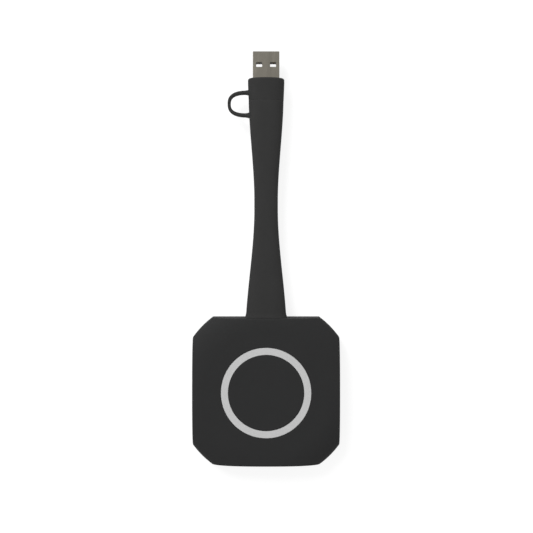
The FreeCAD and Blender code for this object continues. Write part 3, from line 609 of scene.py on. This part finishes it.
def sweepSections(bm, places, around):
    # Extrudes a ring of vertices from place to place and returns both end rings, still open
    first = bmesh.ops.create_circle(bm, segments=around, radius=1)["verts"]
    turnOf = {vert: 2 * math.pi * index / around for index, vert in enumerate(first)}
    for vert in first:
        vert.co = places[0](turnOf[vert])
    ring = list(bm.edges)
    firstRing = ring
    for place in places[1:]:
        made = bmesh.ops.extrude_edge_only(bm, edges=ring)["geom"]
        fresh = [item for item in made if isinstance(item, bmesh.types.BMVert)]
        turns = {}
        for vert in fresh:
            turns[vert] = next(turnOf[edge.other_vert(vert)] for edge in vert.link_edges
                               if edge.other_vert(vert) in turnOf)
        for vert, turn in turns.items():
            vert.co = place(turn)
        turnOf = turns
        ring = [item for item in made if isinstance(item, bmesh.types.BMEdge)
                and all(vert in turns for vert in item.verts)]
    return firstRing, ring


sortWay = Vector((0.36, 0.48, 0.80))        # leans off every symmetry of the dongle


def sweepTube(places, around, closeEnds):
    # closeEnds is the operator that bridges or fills the two end rings
    bm = bmesh.new()
    first, last = sweepSections(bm, places, around)
    closeEnds(bm, edges=first + last)
    # The operators leave these in another order on each run, so they are put in a fixed one
    bm.verts.sort(key=lambda vert: vert.co.dot(sortWay))
    bm.edges.sort(key=lambda edge: (edge.verts[0].co + edge.verts[1].co).dot(sortWay))
    bm.faces.sort(key=lambda face: face.calc_center_median().dot(sortWay))
    return bm


def squaredOval(turn, width, depth, squareness):
    # A point of the oval; squareness 2 is a plain ellipse and more is nearer a rectangle
    across = math.cos(turn)
    up = math.sin(turn)
    power = 2 / squareness
    x = math.copysign(abs(across) ** power, across) * width / 2
    z = math.copysign(abs(up) ** power, up) * depth / 2
    return x, z


circular = 2        # the squareness of a circle

strap = {
    "waistWidth": 10.7, "waistDepth": 4.6,
    "lowerFlare": {"start": 82.5, "length": 58.5, "width": 8.2, "depth": 1.0},
    "upperFlare": {"start": 86.0, "length": 49.0, "width": 5.25, "depth": 3.1},
    "rootSwell": (1.0, 0.9), "rootSwellLength": 2.6,    # the last stretch before the pod
    "squareness": 2.7,
    "middleHeight": 7.0,
    "hidden": 31.65,        # where it starts, inside the pod's wall
    "root": 33.25,          # where it leaves the pod
    "rootRings": (-0.05, 0.2, 0.5, 0.9, 1.3, 1.8, 2.3),     # sections on the swell, from the root
    "evenFrom": 3,                                          # after which they lie a step apart
    "join": 79.0,           # where its lower and upper halves meet
    "end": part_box("adapter_housing")[0].y / mm - 0.01,      # a hair short of the adapter
    "endRound": 0.10, "endAngles": (30, 60, 90),
    "step": 1.0, "boreStep": 2.0, "around": 72,
    "bore": 3.3,
    "pocketStart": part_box("plug_core")[0].y / mm, "pocket": (12.5, 5.1), "pocketSquareness": 4.5,
    "lowerBend": (42.0, 70.0), "upperBend": (88.0, 116.0),      # where it gives at its two hinges
}


def bendBetween(piece):
    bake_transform(piece)


def eased(share):
    # From 0 to 1 with a soft start and a soft end
    share = min(max(share, 0.0), 1.0)
    return share * share * (3 - 2 * share)


def strapSize(y):
    lower, upper = strap["lowerFlare"], strap["upperFlare"]
    low = eased((lower["start"] - y) / lower["length"])
    high = eased((y - upper["start"]) / upper["length"])
    root = max(0.0, 1 - max(0.0, y - strap["root"]) / strap["rootSwellLength"]) ** 2
    wider, deeper = strap["rootSwell"]
    width = strap["waistWidth"] + lower["width"] * low + upper["width"] * high + wider * root
    depth = strap["waistDepth"] + lower["depth"] * low + upper["depth"] * high + deeper * root
    return width, depth


def section(y, width, depth, squareness=strap["squareness"]):
    def place(turn):
        x, z = squaredOval(turn, width, depth, squareness)
        return Vector((x, y, strap["middleHeight"] + z)) * mm
    return place


def stationsAlong(start, end, step):
    count = max(2, round(abs(end - start) / step))
    return [start + (end - start) * index / count for index in range(count + 1)]


def outerSections(start, end):
    return [section(y, *strapSize(y)) for y in stationsAlong(start, end, strap["step"])]


def boreSections(start, end):
    # The cable's bore bends with the strap, so it gets rings all the way too
    bore = strap["bore"]
    return [section(y, bore, bore, circular) for y in stationsAlong(start, end, strap["boreStep"])]


def makeLowerStrap():
    # From inside the pod's wall up to the waist, with the cable's bore through it
    root = strap["root"]
    tucked = [section(strap["hidden"], *strapSize(root + strap["rootSwellLength"]))]
    near = [section(root + step, *strapSize(root + step)) for step in strap["rootRings"]]
    far = outerSections(root + strap["evenFrom"], strap["join"])
    places = tucked + near + far + boreSections(strap["join"], strap["hidden"])
    bm = sweepTube(places, strap["around"], bmesh.ops.bridge_loops)
    piece = finishPiece("strapLower", bm, "strap_rubber")
    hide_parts("neck_sleeve")
    bendBetween(piece)


def roundedEnd():
    # The strap's rim, rounded with a small radius
    end, radius = strap["end"], strap["endRound"]
    width, depth = strapSize(end)
    places = []
    for angle in strap["endAngles"]:
        turn = math.radians(angle)
        inset = 2 * radius * (1 - math.cos(turn))
        places.append(section(end - radius + radius * math.sin(turn), width - inset, depth - inset))
    return places


def makeUpperStrap():
    # From the waist to the seam, with a pocket round the plug's core
    end, pocketStart = strap["end"], strap["pocketStart"]
    outer = outerSections(strap["join"], end - strap["endRound"])
    pocket = [section(y, *strap["pocket"], strap["pocketSquareness"]) for y in (end, pocketStart)]
    places = outer + roundedEnd() + pocket + boreSections(pocketStart, strap["join"])
    bm = sweepTube(places, strap["around"], bmesh.ops.bridge_loops)
    piece = finishPiece("strapUpper", bm, "strap_rubber")
    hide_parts("neck_sleeve")
    bendBetween(piece)


cable = {
    "diameter": 3.2, "start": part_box("usb_cable")[0].y / mm, "join": strap["join"],
    "end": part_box("usb_cable")[1].y / mm, "step": 2.0, "around": 24,
}


def makeCable(name, start, end):
    across = cable["diameter"]
    stations = stationsAlong(start, end, cable["step"])
    places = [section(y, across, across, circular) for y in stations]
    bm = sweepTube(places, cable["around"], bmesh.ops.holes_fill)
    piece = finishPiece(name, bm, "cable_jacket")
    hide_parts("usb_cable")
    bendBetween(piece)


tetherLow, tetherHigh = (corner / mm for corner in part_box("tether"))
tetherRoot = -8.5
tether = {
    "reach": tetherRoot - tetherLow.x, "halfHeight": (tetherHigh.y - tetherLow.y) / 2,
    "centreY": (tetherLow.y + tetherHigh.y) / 2, "height": 7.0,
    "apexThickness": 1.45, "armThickness": 1.8, "width": 3.0,
    "bend": 2.6,        # squareness of the loop seen from above
    "squareness": 3.6,
    "faceX": -8.0, "intoBody": (1.2, 0.5, 0.25),        # the last rings run on into the rubber
    "flare": {"length": 1.4, "thicker": 0.45, "wider": 0.5, "squarer": 2.4},
    "give": 4.0,        # it stretches over this much to each side of its middle
    "steps": 48, "around": 24,
}


def tetherPath(share):
    # Middle line of the loop from the strap's side round to the adapter's, and its outward way
    reach = tether["reach"] - tether["apexThickness"] / 2
    half = tether["halfHeight"] - tether["armThickness"] / 2
    bend = tether["bend"]
    out, up = squaredOval(math.pi * (share - 0.5), 2, 2, bend)      # both are within -1 and 1
    point = Vector((tetherRoot - reach * out, tether["centreY"] + half * up, 0))
    slope = math.copysign(abs(up) ** (bend - 1), up)
    outward = Vector((-max(out, 0) ** (bend - 1) / reach, slope / half, 0)).normalized()
    return point, outward


def tetherSection(point, outward, arm):
    # arm is 0 at the loop's far end and 1 at its roots, where it flares into the body
    flare = tether["flare"]
    fromFace = max(0.0, tether["faceX"] - point.x)
    near = max(0.0, 1 - fromFace / flare["length"]) ** 2
    thickness = tether["apexThickness"] + (tether["armThickness"] - tether["apexThickness"]) * arm
    thickness += flare["thicker"] * near
    width = tether["width"] + flare["wider"] * near
    squareness = tether["squareness"] + flare["squarer"] * near

    def place(turn):
        side, up = squaredOval(turn, thickness, width, squareness)
        return (point + outward * side + Vector((0, 0, tether["height"] + up))) * mm
    return place


def makeTether():
    loop = []
    for index in range(tether["steps"] + 1):
        share = index / tether["steps"]
        loop.append(tetherSection(*tetherPath(share), abs(2 * share - 1)))
    start, startOut = tetherPath(0)
    end, endOut = tetherPath(1)
    inward = [Vector((reach, 0, 0)) for reach in tether["intoBody"]]
    before = [tetherSection(start + step, startOut, 1) for step in inward]
    after = [tetherSection(end + step, endOut, 1) for step in reversed(inward)]
    places = before + loop + after
    bm = sweepTube(places, tether["around"], bmesh.ops.holes_fill)
    piece = finishPiece("tetherLoop", bm, "tether_rubber")
    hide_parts("tether")
    bendBetween(piece)


makeLowerStrap()
makeUpperStrap()
makeCable("cableLower", cable["start"], cable["join"])
makeCable("cableUpper", cable["join"], cable["end"])
makeTether()
print("strap, cable and tether made")
